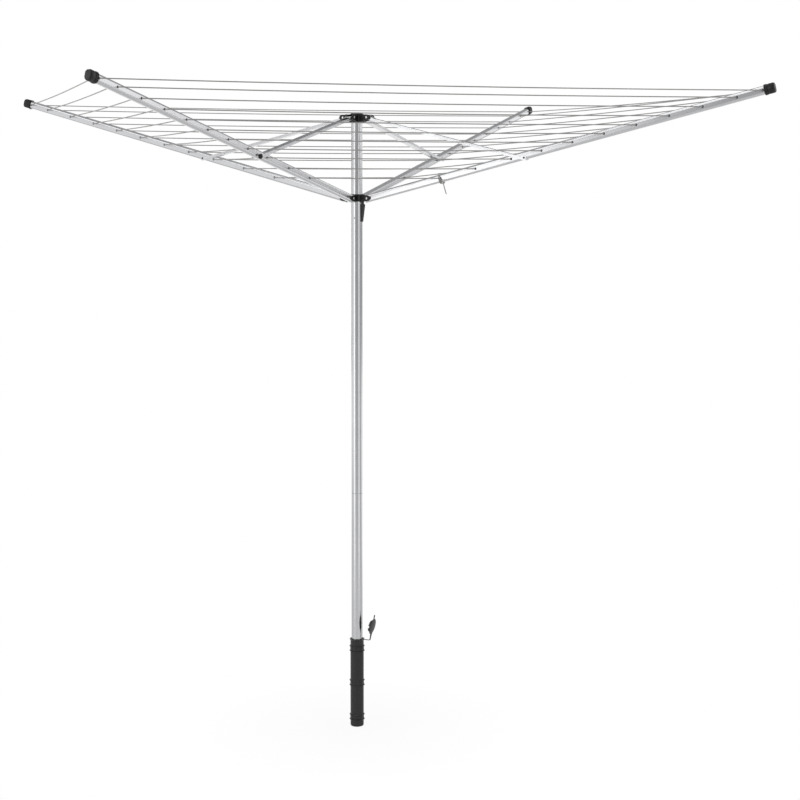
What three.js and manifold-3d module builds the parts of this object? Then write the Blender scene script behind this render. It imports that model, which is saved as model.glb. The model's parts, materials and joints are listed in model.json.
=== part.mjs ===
// Rotary clothesline: a four-armed folding umbrella on a pole that turns in a ground tube.
// Millimetres, +Z up. The origin is the centre of the ground tube's flat bottom.
import * as THREE from 'three';
import { mergeVertices } from 'three/addons/utils/BufferGeometryUtils.js';
import Module from 'manifold-3d';

const wasm = await Module();
wasm.setup();

// ---------- driving dimensions ----------
const GAP = 0.3;                 // left between pieces that touch
const GROUND = 330;              // lawn level above the ground tube's bottom, the tube's length
const POLE_R = 20;
const POLE_WALL = 1.5;
const POLE_SEAM = GROUND + 543;  // where the upper tube's spigot goes into the lower tube
const SPIGOT = 80;
const HUB_PIVOT_Z = GROUND + 1886;
const PIVOT_R = 47.5;            // pivots of arms and struts, from the pole's axis
const FOLD_REACH = 620;          // root pivot to strut pin, the same on arm and strut
const PIN_DROP = 7.5;            // strut pin below the arm's centre line
const ARM_RISE = THREE.MathUtils.degToRad(13.84);
const ARM_AZIMUTHS = [225, 315, 45, 135].map(THREE.MathUtils.degToRad);

const ARM = { width: 22, height: 28, corner: 9, wall: 1.4, inner: -10, outer: 1488 };
const CAP = { start: 1460, end: 1493, wall: 2.1, rim: 1, rimLength: 5 };
const EYELET = { first: 299, innerStep: 136.7, innerCount: 3, step: 114, count: 10, tip: 1455, holeR: 3.2 };
const LINE_R = 1.75;
const LINE_BEND = 14;            // the line turns this far from an arm's centre plane
const ANCHOR_BACK = 12;          // the line's outer end goes into arm 2 this far inside its tip hole

const STRUT = { width: 26, wall: 1.6, below: 8.2, above: 1.5, endR: 8.5, hubWeb: 14, armWeb: 86, taper: 26 };
const PIN = { shankR: 2.5, headR: 4, head: 1.6 };
const STRUT_PIN = { shankR: 2.3, headR: 3.4, head: 1.2 };
const KNOB = { baseR: 7, r: 8.6, bulge: 4, height: 10, recess: 1.6 };   // on the pin of strut 1

const EAR = { tipX: 14.5, tipZ: 10.2, rootX: 14 };
const TOP_HUB = { bodyR: 26, bore: POLE_R + 0.35, up: 12, down: 16, earIn: 13.6, earOut: 17, boss: 28.2 };
const RUNNER = { bodyR: 25.5, bore: POLE_R + 0.8, up: 14, down: 12, earIn: 11.6, earOut: 15 };
const KEYWAY = { r: 22.4, width: 8.4 };   // groove in the runner's bore that passes the pole rivet's head
const LEVER = { arm: 1, r: 25, drop: 25.4, heelR: 4.4, step: 5.4, stepHeight: 6.4, slotDepth: 4.2,
  width: 12, length: 57.6, tip: 2.2, pinR: 1.6 };
const TONGUE = { width: 4.8, reach: 3.2 };   // under the runner, between the lever's fork arms

const TUBE = { outerR: 24.5, boreR: 22, floor: 6, rimR: 27, rim: 3, ribR: 28, foot: 2 };
const RIBS = { first: 36, pitch: 129.5, pairs: 3, half: 8.9, thick: 2.4 };
const FOOT = { flange: 8, plug: 34, chamfer: 2 };
const BUSH = { top: 14, length: 34 };
const STRAP = { width: 9, thick: 0.9, drop: 2.2, end: 49.4 };
const LID = { hingeR: 50, azimuth: -38, lean: 79, discR: 29, thick: 3.2, neck: 24, neckWidth: 9,
  flap: 1.9, lap: 6, ringR: 21.6, ringWall: 2, ring: 8, notch: 8, tab: 16, tabWidth: 7 };
const POLE_RIVET = { z: GROUND + 1534, arm: 0, headR: 3.6, shankR: 2.2, bossR: 5 };
const BLIND_RIVET = { crown: 1.3, bulge: 0.9, tail: 3 };
const TOP_CAP = { r: 21.5, edge: 1, dome: 2.6, plug: 8 };
const KNOT = { r: 4.6, across: 17, up: -7 };

// ---------- worked out from them ----------
const pinSlope = Math.asin(PIN_DROP / FOLD_REACH);
const strutDip = ARM_RISE - pinSlope;                       // strut below the horizontal
const runnerPivotZ = HUB_PIVOT_Z - 2 * FOLD_REACH * Math.sin(strutDip);
const pinAlong = FOLD_REACH * Math.cos(pinSlope);
const poleBottom = TUBE.floor + FOOT.flange + 2 * GAP;
const poleTop = HUB_PIVOT_Z + TOP_HUB.up - 1;

const eyelets = [];
for (let i = 0; i < EYELET.count; i++) {
  const inner = Math.min(i, EYELET.innerCount - 1);
  eyelets.push(EYELET.first + inner * EYELET.innerStep + (i - inner) * EYELET.step);
}
eyelets.push(EYELET.tip);

// ---------- materials ----------
const paint = (color, roughness, metalness) =>
  new THREE.MeshStandardMaterial({ color, roughness, metalness });
const aluminium = paint(0xc9cacc, 0.32, 1);
const steel = paint(0xd9dadb, 0.25, 1);
const blackPlastic = paint(0x1d1d1f, 0.5, 0);
const groundPlastic = paint(0x38383a, 0.55, 0);
const linePlastic = paint(0x9b9a98, 0.6, 0);

// ---------- solids ----------
function toSolid(geometry) {
  const bare = geometry.clone();
  bare.deleteAttribute('normal');
  bare.deleteAttribute('uv');
  const merged = mergeVertices(bare, 1e-4);
  const vertProperties = new Float32Array(merged.attributes.position.array);
  const triVerts = new Uint32Array(merged.index.array);
  return new wasm.Manifold(new wasm.Mesh({ numProp: 3, vertProperties, triVerts }));
}

function toGeometry(solid) {
  const mesh = solid.getMesh();
  const geometry = new THREE.BufferGeometry();
  geometry.setAttribute('position', new THREE.BufferAttribute(mesh.vertProperties, 3));
  geometry.setIndex(new THREE.BufferAttribute(mesh.triVerts, 1));
  geometry.computeVertexNormals();
  return geometry;
}

// joins the first list of geometries and cuts the second list away
function carve(joined, cuts) {
  let solid = toSolid(joined[0]);
  for (const geometry of joined.slice(1)) solid = solid.add(toSolid(geometry));
  for (const geometry of cuts) solid = solid.subtract(toSolid(geometry));
  return toGeometry(solid);
}

const axisX = new THREE.Vector3(1, 0, 0);
const axisY = new THREE.Vector3(0, 1, 0);
const axisZ = new THREE.Vector3(0, 0, 1);

// shape in (y, z), extruded along +X from x
function alongX(shape, x, length) {
  const geometry = new THREE.ExtrudeGeometry(shape, { depth: length, bevelEnabled: false, curveSegments: 2 });
  geometry.applyMatrix4(new THREE.Matrix4().makeBasis(axisY, axisZ, axisX));
  return geometry.translate(x, 0, 0);
}

// shape in (x, z), a plate between two values of y
function plate(shape, y0, y1, curveSegments = 3) {
  const geometry = new THREE.ExtrudeGeometry(shape, { depth: y1 - y0, bevelEnabled: false, curveSegments });
  geometry.applyMatrix4(new THREE.Matrix4().makeBasis(axisX, axisZ, axisY.clone().negate()));
  return geometry.translate(0, y1, 0);
}

// rod along Y between two values of y
function crossRod(radius, x, z, y0, y1, sides = 10) {
  const geometry = new THREE.CylinderGeometry(radius, radius, y1 - y0, sides);
  return geometry.translate(x, (y0 + y1) / 2, z);
}

function upright(radius, z0, z1, sides = 24) {
  const geometry = new THREE.CylinderGeometry(radius, radius, z1 - z0, sides);
  return geometry.rotateX(Math.PI / 2).translate(0, 0, (z0 + z1) / 2);
}

function box(x0, x1, y0, y1, z0, z1) {
  const geometry = new THREE.BoxGeometry(x1 - x0, y1 - y0, z1 - z0);
  return geometry.translate((x0 + x1) / 2, (y0 + y1) / 2, (z0 + z1) / 2);
}

// [radius, z] outline turned about Z
function turned(outline, sides) {
  const points = outline.map(([r, z]) => new THREE.Vector2(r, z));
  return new THREE.LatheGeometry(points, sides).rotateX(Math.PI / 2);
}

// [radius, y] outline turned about Y
function turnedAcross(outline, sides = 10) {
  return new THREE.LatheGeometry(outline.map(([r, y]) => new THREE.Vector2(r, y)), sides);
}

function roundedRectangle(width, height, radius) {
  const shape = new THREE.Shape();
  const [x, y] = [width / 2 - radius, height / 2 - radius];
  const corners = [[x, -y, -90], [x, y, 0], [-x, y, 90], [-x, -y, 180]];
  for (const [cx, cy, degrees] of corners) {
    const start = THREE.MathUtils.degToRad(degrees);
    shape.absarc(cx, cy, radius, start, start + Math.PI / 2, false);
  }
  shape.closePath();
  return shape;
}

// rivet along Y, headed at both ends of its grip
function rivet({ shankR, headR, head }, grip) {
  const half = grip / 2;
  const end = half + head;
  const crownR = 0.7 * headR;
  return turnedAcross([[0, -end], [crownR, -end], [headR, -half], [shankR, -half], [shankR, half],
    [headR, half], [crownR, end], [0, end]]);
}

// ---------- placing ----------
const clothesline = new THREE.Group();

function add(parent, name, geometry, material) {
  const mesh = new THREE.Mesh(geometry, material);
  mesh.name = name;
  parent.add(mesh);
  return mesh;
}

// a group whose +X points outward at an azimuth, at radius r and height z, dipping by an angle
function station(azimuth, r = 0, z = 0, dip = 0) {
  const turn = new THREE.Group();
  turn.rotation.z = azimuth;
  const place = new THREE.Group();
  place.position.set(r, 0, z);
  place.rotation.y = dip;
  turn.add(place);
  clothesline.add(turn);
  return place;
}

// ---------- ground tube and its lid ----------
function groundTube() {
  const outline = [[0, 0], [TUBE.outerR - TUBE.foot, 0], [TUBE.outerR, TUBE.foot]];
  for (let pair = RIBS.pairs - 1; pair >= 0; pair--) {
    for (const side of [-1, 1]) {
      const z = GROUND - RIBS.first - pair * RIBS.pitch + side * RIBS.half;
      outline.push([TUBE.outerR, z - RIBS.thick], [TUBE.ribR, z - RIBS.thick / 2],
        [TUBE.ribR, z + RIBS.thick / 2], [TUBE.outerR, z + RIBS.thick]);
    }
  }
  outline.push([TUBE.outerR, GROUND - 2 * TUBE.rim], [TUBE.rimR, GROUND - TUBE.rim], [TUBE.rimR, GROUND],
    [TUBE.boreR, GROUND], [TUBE.boreR, TUBE.floor], [0, TUBE.floor]);
  const half = STRAP.width / 2;
  const strapTop = GROUND - STRAP.drop + STRAP.thick;
  const strap = box(TUBE.outerR, STRAP.end, -half, half, GROUND - STRAP.drop, strapTop);
  strap.rotateZ(THREE.MathUtils.degToRad(LID.azimuth));
  return carve([turned(outline, 20), strap], []);
}

// the lid lies along +X from its hinge, its outer side towards -Z
function groundTubeLid() {
  const centre = LID.neck + LID.discR;
  const disc = upright(LID.discR, -LID.thick, 0, 20).translate(centre, 0, 0);
  const neckHalf = LID.neckWidth / 2;
  const neck = box(0, LID.neck + LID.lap, -neckHalf, neckHalf, -LID.flap, 0);
  const edge = centre + LID.discR;
  const tabHalf = LID.tabWidth / 2;
  const tab = box(edge - LID.lap, edge + LID.tab, -tabHalf, tabHalf, -LID.flap, 0);
  const ring = upright(LID.ringR, -1, LID.ring, 20).translate(centre, 0, 0);
  const hollow = upright(LID.ringR - LID.ringWall, 0, LID.ring + 1, 20).translate(centre, 0, 0);
  const reach = LID.ringR + 1;
  const notchHalf = LID.notch / 2;
  const notch = box(centre - notchHalf, centre + notchHalf, -reach, reach, LID.ring / 2, LID.ring + 1);
  return carve([disc, neck, tab, carve([ring], [hollow, notch])], []);
}

add(clothesline, 'ground_tube', groundTube(), groundPlastic);
add(clothesline, 'mouth_bush', turned([
  [POLE_R + GAP, GROUND - BUSH.top - BUSH.length], [TUBE.boreR - GAP, GROUND - BUSH.top - BUSH.length],
  [TUBE.boreR - GAP, GROUND - BUSH.top], [POLE_R + GAP, GROUND - BUSH.top],
  [POLE_R + GAP, GROUND - BUSH.top - BUSH.length]], 20), blackPlastic);
const lidPlace = station(THREE.MathUtils.degToRad(LID.azimuth), LID.hingeR, GROUND - STRAP.drop + STRAP.thick,
  -THREE.MathUtils.degToRad(LID.lean));
add(lidPlace, 'ground_tube_lid', groundTubeLid(), groundPlastic);

// ---------- pole ----------
const poleInner = POLE_R - POLE_WALL;
const rivetAzimuth = ARM_AZIMUTHS[POLE_RIVET.arm];
const hubRivetAzimuth = Math.PI / 2;

// hole for a blind rivet, from the axis out to the given azimuth
function rivetHole(azimuth, z) {
  return crossRod(POLE_RIVET.shankR + GAP, 0, z, -2 * POLE_R, 0).rotateZ(azimuth + Math.PI / 2);
}

// the upper tube, necked down below the seam to a spigot inside the lower tube
function poleUpper() {
  const spigotR = poleInner - GAP;
  const spigotEnd = POLE_SEAM - SPIGOT;
  const tube = turned([[spigotR - POLE_WALL, spigotEnd], [spigotR, spigotEnd], [spigotR, POLE_SEAM],
    [POLE_R, POLE_SEAM], [POLE_R, poleTop], [poleInner, poleTop], [poleInner, POLE_SEAM + POLE_WALL],
    [spigotR - POLE_WALL, POLE_SEAM + POLE_WALL], [spigotR - POLE_WALL, spigotEnd]], 24);
  return carve([tube], [rivetHole(rivetAzimuth, POLE_RIVET.z), rivetHole(hubRivetAzimuth, HUB_PIVOT_Z)]);
}

function poleLower() {
  const top = POLE_SEAM - GAP;
  return turned([[poleInner, poleBottom], [POLE_R, poleBottom], [POLE_R, top], [poleInner, top],
    [poleInner, poleBottom]], 24);
}

// blind rivet through the pole's wall, its domed head on a wall of the given outer radius
function addBlindRivet(name, azimuth, z, wallR) {
  const { headR, shankR } = POLE_RIVET;
  const head = wallR + GAP;
  const tail = poleInner - 2 * GAP;
  const bulgeR = shankR + BLIND_RIVET.bulge;
  const end = tail - BLIND_RIVET.tail;
  const { crown } = BLIND_RIVET;
  const geometry = turnedAcross([[0, -head - crown], [0.7 * headR, -head - 0.8 * crown], [headR, -head],
    [shankR, -head], [shankR, -tail], [bulgeR, -tail], [bulgeR, -end], [0, -end]]);
  const mesh = add(clothesline, name, geometry, steel);
  mesh.position.z = z;
  mesh.rotation.z = azimuth + Math.PI / 2;
}

add(clothesline, 'pole_upper', poleUpper(), aluminium);
add(clothesline, 'pole_lower', poleLower(), aluminium);
addBlindRivet('pole_rivet', rivetAzimuth, POLE_RIVET.z, POLE_R);
addBlindRivet('hub_rivet', hubRivetAzimuth, HUB_PIVOT_Z, TOP_HUB.boss);

const plugR = poleInner - GAP;
const footBase = TUBE.floor + GAP;
const footR = TUBE.boreR - 2 * GAP;
add(clothesline, 'pole_foot', turned([[0, footBase], [footR - FOOT.chamfer, footBase],
  [footR, footBase + FOOT.chamfer], [footR, footBase + FOOT.flange], [plugR, footBase + FOOT.flange],
  [plugR, footBase + FOOT.plug], [0, footBase + FOOT.plug]], 20), blackPlastic);

// ---------- hubs ----------
// one ear of a hub: a plate from the body to a rounded end about the pivot
function ear({ up, down }, y0, y1) {
  const shape = new THREE.Shape();
  shape.moveTo(EAR.rootX, up);
  shape.lineTo(EAR.rootX, -down);
  shape.lineTo(TOP_HUB.bodyR, -down);
  shape.absellipse(PIVOT_R, 0, EAR.tipX, EAR.tipZ, -Math.PI / 2, Math.PI / 2, false, 0);
  shape.lineTo(TOP_HUB.bodyR, up);
  shape.closePath();
  return plate(shape, y0, y1);
}

function hub(size, extras, cuts) {
  const pieces = [upright(size.bodyR, -size.down, size.up)];
  const lowest = -LEVER.drop - TONGUE.reach - 1;
  const holes = [upright(size.bore, lowest, size.up + 1)];
  for (const azimuth of ARM_AZIMUTHS) {
    for (const [y0, y1] of [[-size.earOut, -size.earIn], [size.earIn, size.earOut]]) {
      pieces.push(ear({ up: size.up - 2, down: size.down - 1 }, y0, y1).rotateZ(azimuth));
    }
    const reach = size.earOut + 1;
    holes.push(crossRod(PIN.shankR + GAP, PIVOT_R, 0, -reach, reach).rotateZ(azimuth));
  }
  return carve([...pieces, ...extras], [...holes, ...cuts]);
}

const boss = crossRod(POLE_RIVET.bossR, 0, 0, POLE_R + 2, TOP_HUB.boss);
const topHub = hub(TOP_HUB, [boss], [rivetHole(hubRivetAzimuth, 0)]);
add(clothesline, 'top_hub', topHub, blackPlastic).position.z = HUB_PIVOT_Z;

function topCap() {
  const base = HUB_PIVOT_Z + TOP_HUB.up + GAP;
  const outline = [[0, base - TOP_CAP.plug], [plugR, base - TOP_CAP.plug], [plugR, base], [TOP_CAP.r, base]];
  const steps = 4;
  for (let i = 0; i <= steps; i++) {
    const angle = i / steps * Math.PI / 2;
    const r = i < steps ? TOP_CAP.r * Math.cos(angle) : 0;
    outline.push([r, base + TOP_CAP.edge + TOP_CAP.dome * Math.sin(angle)]);
  }
  return turned(outline, 20);
}

add(clothesline, 'top_cap', topCap(), blackPlastic);

function leverTongue() {
  const shape = new THREE.Shape();
  shape.moveTo(LEVER.r - TONGUE.reach, -RUNNER.down + 1);
  shape.lineTo(LEVER.r - TONGUE.reach, -LEVER.drop);
  shape.absarc(LEVER.r, -LEVER.drop, TONGUE.reach, Math.PI, 2 * Math.PI, false);
  shape.lineTo(LEVER.r + TONGUE.reach, -RUNNER.down + 1);
  shape.closePath();
  return plate(shape, -TONGUE.width / 2, TONGUE.width / 2).rotateZ(ARM_AZIMUTHS[LEVER.arm]);
}

const leverHalf = LEVER.width / 2;
const leverPinHole = crossRod(LEVER.pinR + GAP, LEVER.r, -LEVER.drop, -leverHalf, leverHalf);
leverPinHole.rotateZ(ARM_AZIMUTHS[LEVER.arm]);
const keyHalf = KEYWAY.width / 2;
const keyway = box(POLE_R / 2, KEYWAY.r, -keyHalf, keyHalf, -RUNNER.down - 1, RUNNER.up + 1);
keyway.rotateZ(rivetAzimuth);
const runner = hub(RUNNER, [leverTongue()], [leverPinHole, keyway]);
add(clothesline, 'runner', runner, blackPlastic).position.z = runnerPivotZ;

// ---------- clamp lever ----------
function clampLever() {
  const shape = new THREE.Shape();
  shape.moveTo(-LEVER.heelR, 0);
  shape.lineTo(-LEVER.heelR, -LEVER.length);
  shape.lineTo(LEVER.tip - LEVER.heelR, -LEVER.length);
  shape.lineTo(LEVER.step, LEVER.heelR - LEVER.stepHeight);
  shape.lineTo(LEVER.step, LEVER.heelR);
  shape.lineTo(0, LEVER.heelR);
  shape.absarc(0, 0, LEVER.heelR, Math.PI / 2, Math.PI, false);
  shape.closePath();
  const slotHalf = TONGUE.width / 2 + GAP;
  const slot = box(-LEVER.width, LEVER.width, -slotHalf, slotHalf, -LEVER.slotDepth, LEVER.width);
  const hole = crossRod(LEVER.pinR + GAP, 0, 0, -LEVER.width, LEVER.width);
  return carve([plate(shape, -leverHalf, leverHalf, 4)], [hole, slot]);
}

const leverPlace = station(ARM_AZIMUTHS[LEVER.arm], LEVER.r, runnerPivotZ - LEVER.drop);
add(leverPlace, 'clamp_lever', clampLever(), blackPlastic);
add(leverPlace, 'lever_pin', crossRod(LEVER.pinR, 0, 0, -leverHalf, leverHalf), steel);

// ---------- arms, struts and their pins ----------
function armTube(withAnchor) {
  const profile = roundedRectangle(ARM.width, ARM.height, ARM.corner);
  const inside = roundedRectangle(ARM.width - 2 * ARM.wall, ARM.height - 2 * ARM.wall, ARM.corner - ARM.wall);
  profile.holes.push(inside);
  const reach = ARM.width;
  const cuts = eyelets.map((x) => crossRod(EYELET.holeR, x, 0, -reach, reach, 6));
  cuts.push(crossRod(PIN.shankR + GAP, 0, 0, -reach, reach));
  cuts.push(crossRod(STRUT_PIN.shankR + GAP, pinAlong, -PIN_DROP, -reach, reach));
  if (withAnchor) cuts.push(crossRod(EYELET.holeR, EYELET.tip - ANCHOR_BACK, 0, 0, reach, 6));
  return carve([alongX(profile, ARM.inner, ARM.outer - ARM.inner)], cuts);
}

function armCap() {
  const fit = 2 * GAP;
  const width = ARM.width + fit + 2 * CAP.wall;
  const height = ARM.height + fit + 2 * CAP.wall;
  const radius = ARM.corner + GAP + CAP.wall;
  const body = alongX(roundedRectangle(width, height, radius), CAP.start, CAP.end - CAP.start);
  const rim = alongX(roundedRectangle(width + 2 * CAP.rim, height + 2 * CAP.rim, radius + CAP.rim), CAP.start,
    CAP.rimLength);
  const socket = alongX(roundedRectangle(ARM.width + fit, ARM.height + fit, ARM.corner + GAP), CAP.start - 1,
    ARM.outer + GAP - CAP.start + 1);
  return carve([body, rim], [socket]);
}

// the channel strut runs along +X from its hub pin, open side up, its web cut back at both ends
function strutSide(y0, y1) {
  const shape = new THREE.Shape();
  shape.absarc(0, 0, STRUT.endR, Math.PI / 2, 1.5 * Math.PI, false);
  shape.lineTo(STRUT.hubWeb, -STRUT.below);
  shape.lineTo(FOLD_REACH - STRUT.armWeb, -STRUT.below);
  shape.lineTo(FOLD_REACH - STRUT.endR, -STRUT.endR);
  shape.absarc(FOLD_REACH, 0, STRUT.endR, -Math.PI / 2, 0.85 * Math.PI, false);
  shape.lineTo(FOLD_REACH - STRUT.taper, STRUT.above);
  shape.lineTo(STRUT.taper, STRUT.above);
  shape.closePath();
  return plate(shape, y0, y1);
}

function strut() {
  const half = STRUT.width / 2;
  const inner = half - STRUT.wall;
  const webEnd = FOLD_REACH - STRUT.armWeb;
  const web = box(STRUT.hubWeb, webEnd, -half, half, -STRUT.below, -STRUT.below + STRUT.wall);
  const holes = [crossRod(PIN.shankR + GAP, 0, 0, -half - 1, half + 1),
    crossRod(STRUT_PIN.shankR + GAP, FOLD_REACH, 0, -half - 1, half + 1)];
  return carve([strutSide(-half, -inner), strutSide(inner, half), web], holes);
}

// a round knob pressed over a strut pin's head, on the side of +Y
function pinKnob() {
  const base = STRUT.width / 2 + GAP;
  const recessR = STRUT_PIN.headR + GAP;
  const floor = base + KNOB.recess;
  const outline = [[recessR, base], [KNOB.baseR, base]];
  const steps = 4;
  for (let i = 0; i <= steps; i++) {
    const angle = i / steps * Math.PI / 2;
    const r = i < steps ? KNOB.r * Math.cos(angle) : 0;
    outline.push([r, base + KNOB.bulge + (KNOB.height - KNOB.bulge) * Math.sin(angle)]);
  }
  outline.push([0, floor], [recessR, floor], [recessR, base]);
  return turnedAcross(outline, 14);
}

const strutPinGrip = STRUT.width + 2 * GAP;
ARM_AZIMUTHS.forEach((azimuth, index) => {
  const number = index + 1;
  const arm = station(azimuth, PIVOT_R, runnerPivotZ, -ARM_RISE);
  add(arm, `arm_${number}`, armTube(index === 1), aluminium);
  add(arm, `arm_cap_${number}`, armCap(), blackPlastic);
  add(arm, `runner_pin_${number}`, rivet(PIN, 2 * (RUNNER.earOut + GAP)), steel);

  const strutPlace = station(azimuth, PIVOT_R, HUB_PIVOT_Z, strutDip);
  add(strutPlace, `strut_${number}`, strut(), aluminium);
  add(strutPlace, `hub_pin_${number}`, rivet(PIN, 2 * (TOP_HUB.earOut + GAP)), steel);
  add(strutPlace, `strut_pin_${number}`, rivet(STRUT_PIN, strutPinGrip).translate(FOLD_REACH, 0, 0), steel);
  if (number === 1) add(strutPlace, 'pin_knob', pinKnob().translate(FOLD_REACH, 0, 0), blackPlastic);
});

// ---------- the line ----------
// a point on an arm: along its centre line, across it (anticlockwise from above) and up from it
function onArm(index, along, across, up = 0) {
  const point = new THREE.Vector3(along, across, up).applyAxisAngle(axisY, -ARM_RISE);
  point.add(new THREE.Vector3(PIVOT_R, 0, runnerPivotZ));
  return point.applyAxisAngle(axisZ, ARM_AZIMUTHS[index]);
}

// a path through given corners, with a section at each corner and nowhere else
class Route extends THREE.Curve {
  constructor(points) {
    super();
    this.points = points;
  }
  getPointAt(u, target = new THREE.Vector3()) {
    return target.copy(this.points[Math.round(u * (this.points.length - 1))]);
  }
  getPoint(u, target) {
    return this.getPointAt(u, target);
  }
  getTangentAt(u, target = new THREE.Vector3()) {
    const last = this.points.length - 1;
    const here = Math.round(u * last);
    const before = this.points[Math.max(here - 1, 0)];
    const after = this.points[Math.min(here + 1, last)];
    const inward = this.points[here].clone().sub(before).normalize();
    const outward = after.clone().sub(this.points[here]).normalize();
    return target.copy(inward.add(outward)).normalize();
  }
}

function cord(points) {
  const section = new THREE.Shape().absarc(0, 0, LINE_R, 0, 2 * Math.PI, false);
  return new THREE.ExtrudeGeometry(section, {
    steps: points.length - 1, extrudePath: new Route(points), curveSegments: 4, bevelEnabled: false,
  });
}

// the line is tied round arm 2, then runs clockwise from arm to arm, one eyelet further out each round
const WINDING = [1, 0, 3, 2];
const LOOP = [[-15.6, -12.2], [-12.5, -16.4], [-6, -18.4], [4, -18.4], [12, -16], [17, -10], [17.4, -4]];
const route = LOOP.map(([across, up]) => onArm(1, eyelets[0], across, up));
for (const along of eyelets) {
  for (const index of WINDING) {
    route.push(onArm(index, along, LINE_BEND), onArm(index, along, -LINE_BEND));
  }
}
const anchor = EYELET.tip - ANCHOR_BACK;
route.push(onArm(1, anchor, LINE_BEND), onArm(1, anchor, LINE_BEND / 4));
add(clothesline, 'clothesline', cord(route), linePlastic);

const knot = new THREE.SphereGeometry(KNOT.r, 8, 6);
const knotCentre = onArm(1, eyelets[0], -KNOT.across, KNOT.up);
add(clothesline, 'line_knot', knot, linePlastic).position.copy(knotCentre);

// the free end, from the knot: outward along the arm, away from it sideways, and up
const TAIL = [[4.9, 0.6, -0.8], [6.6, 1, -1.1], [8.4, 1.4, -2], [10, 1.7, -3.6], [11.4, 2, -5.9],
  [12.7, 2.2, -9], [13.9, 2.4, -12.5], [15.1, 2.6, -16.2], [16.3, 2.7, -20], [17.6, 2.8, -23.9],
  [18.9, 2.9, -27.8], [20.2, 3, -31.7], [21.5, 3, -35.6], [22.8, 3, -39.5], [24.1, 3, -43.4], [25.3, 3, -47.3]];
const tail = TAIL.map(([out, side, up]) =>
  new THREE.Vector3(out, -side, up).applyAxisAngle(axisZ, ARM_AZIMUTHS[1]).add(knotCentre));
add(clothesline, 'line_tail', cord(tail), linePlastic);

export default clothesline;
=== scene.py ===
"""The looks of a rotary clothesline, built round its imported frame. Metres, +Z up."""
import json
import math

import bmesh
import bpy
from mathutils import Matrix, Vector


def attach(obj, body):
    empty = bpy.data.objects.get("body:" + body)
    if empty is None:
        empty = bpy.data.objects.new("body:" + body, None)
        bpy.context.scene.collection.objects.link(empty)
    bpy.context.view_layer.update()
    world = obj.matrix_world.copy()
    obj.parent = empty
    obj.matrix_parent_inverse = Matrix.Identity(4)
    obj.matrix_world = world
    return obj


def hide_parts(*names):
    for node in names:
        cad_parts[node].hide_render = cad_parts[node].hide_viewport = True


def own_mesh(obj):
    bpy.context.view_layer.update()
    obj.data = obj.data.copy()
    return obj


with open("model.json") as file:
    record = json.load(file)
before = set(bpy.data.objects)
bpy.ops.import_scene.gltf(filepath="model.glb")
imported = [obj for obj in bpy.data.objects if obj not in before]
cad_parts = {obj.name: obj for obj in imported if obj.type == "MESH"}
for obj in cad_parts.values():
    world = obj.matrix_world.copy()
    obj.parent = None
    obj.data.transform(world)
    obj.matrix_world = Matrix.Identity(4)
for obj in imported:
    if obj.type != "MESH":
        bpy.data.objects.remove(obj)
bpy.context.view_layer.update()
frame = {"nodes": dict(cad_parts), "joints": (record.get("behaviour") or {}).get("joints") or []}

# ---------- driving dimensions ----------
MM = 0.001
GROUND = 0.330                    # lawn level above the frame's origin
POLE_R = 0.020
POLE_WALL = 1.5 * MM
PIN_DROP = 7.5 * MM               # strut pin below the arm's centre line
FOLDED_RISE = math.radians(85)    # of the arms, when the fold is at its limit

ARM = dict(width=22 * MM, height=28 * MM, corner=9 * MM, wall=1.4 * MM, inner=-10 * MM, outer=1488 * MM)
CAP = dict(start=1460 * MM, waist=1471 * MM, end=1493 * MM)
EYELETS = [                       # along the arm, from its pin on the runner
    *((299 + 136.7 * i) * MM for i in range(3)),
    *((686.4 + 114 * i) * MM for i in range(7)),
    1455 * MM,
]
EYELET_R = 3.2 * MM
LINE_R = 1.75 * MM
LINE_BEND = 14 * MM               # the line turns this far from an arm's centre plane
TIED = 1                          # the index of arm 2, which holds both ends of the line
ANCHOR = EYELETS[-1] - 12 * MM    # where the outer end goes into that arm

STRUT = dict(width=26 * MM, wall=1.6 * MM, below=8.2 * MM, above=1.5 * MM, end_r=8.5 * MM,
             hub_web=14 * MM, arm_web=86 * MM, taper=26 * MM)
TOP_HUB = dict(body_r=26 * MM, bore=20.35 * MM, up=12 * MM, down=16 * MM, ear_in=13.6 * MM, ear_out=17 * MM)
RUNNER = dict(body_r=25.5 * MM, bore=20.8 * MM, up=14 * MM, down=12 * MM, ear_in=11.6 * MM, ear_out=15 * MM)
EAR = dict(tip_x=14.5 * MM, tip_z=10.2 * MM, root_x=18 * MM, boss_r=7 * MM)
LEVER = dict(arm=1, r=25 * MM, drop=25.4 * MM, slot=4.2 * MM, width=12 * MM)
GRIP = dict(heel=4.4, step=5.4, step_height=6.4, length=57.6, tip=2.2)  # the lever's outline, in millimetres
TONGUE = dict(width=4.8 * MM, reach=3.2 * MM, root=-11 * MM)

HOLES = dict(pivot=2.8 * MM, strut=2.6 * MM, lever=1.9 * MM)    # radii of the pins' holes
PINS = dict(                      # shank radius, head radius, head height and grip, in millimetres
    runner=(2.5, 4, 1.6, 30.6),
    hub=(2.5, 4, 1.6, 34.6),
    strut=(2.3, 3.4, 1.2, 26.6),
    lever=(1.6, 2.4, 0.5, 12.2),
)

# ---------- read from the frame ----------
joints = {joint["name"]: joint for joint in frame["joints"]}


def pivot(name):
    return Vector(joints[name]["pos_m"])


hub_z = pivot("strut_1_fold").z
runner_z = pivot("runner_travel").z
pivot_r = pivot("strut_1_fold").xy.length
azimuths = [math.atan2(pivot(f"strut_{n}_fold").y, pivot(f"strut_{n}_fold").x) for n in (1, 2, 3, 4)]
reach = (pivot("arm_1_fold") - pivot("strut_1_fold")).length
strut_dip = math.asin((hub_z - pivot("arm_1_fold").z) / reach)
arm_rise = strut_dip + math.asin(PIN_DROP / reach)
pin_along = math.sqrt(reach**2 - PIN_DROP**2)


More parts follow.
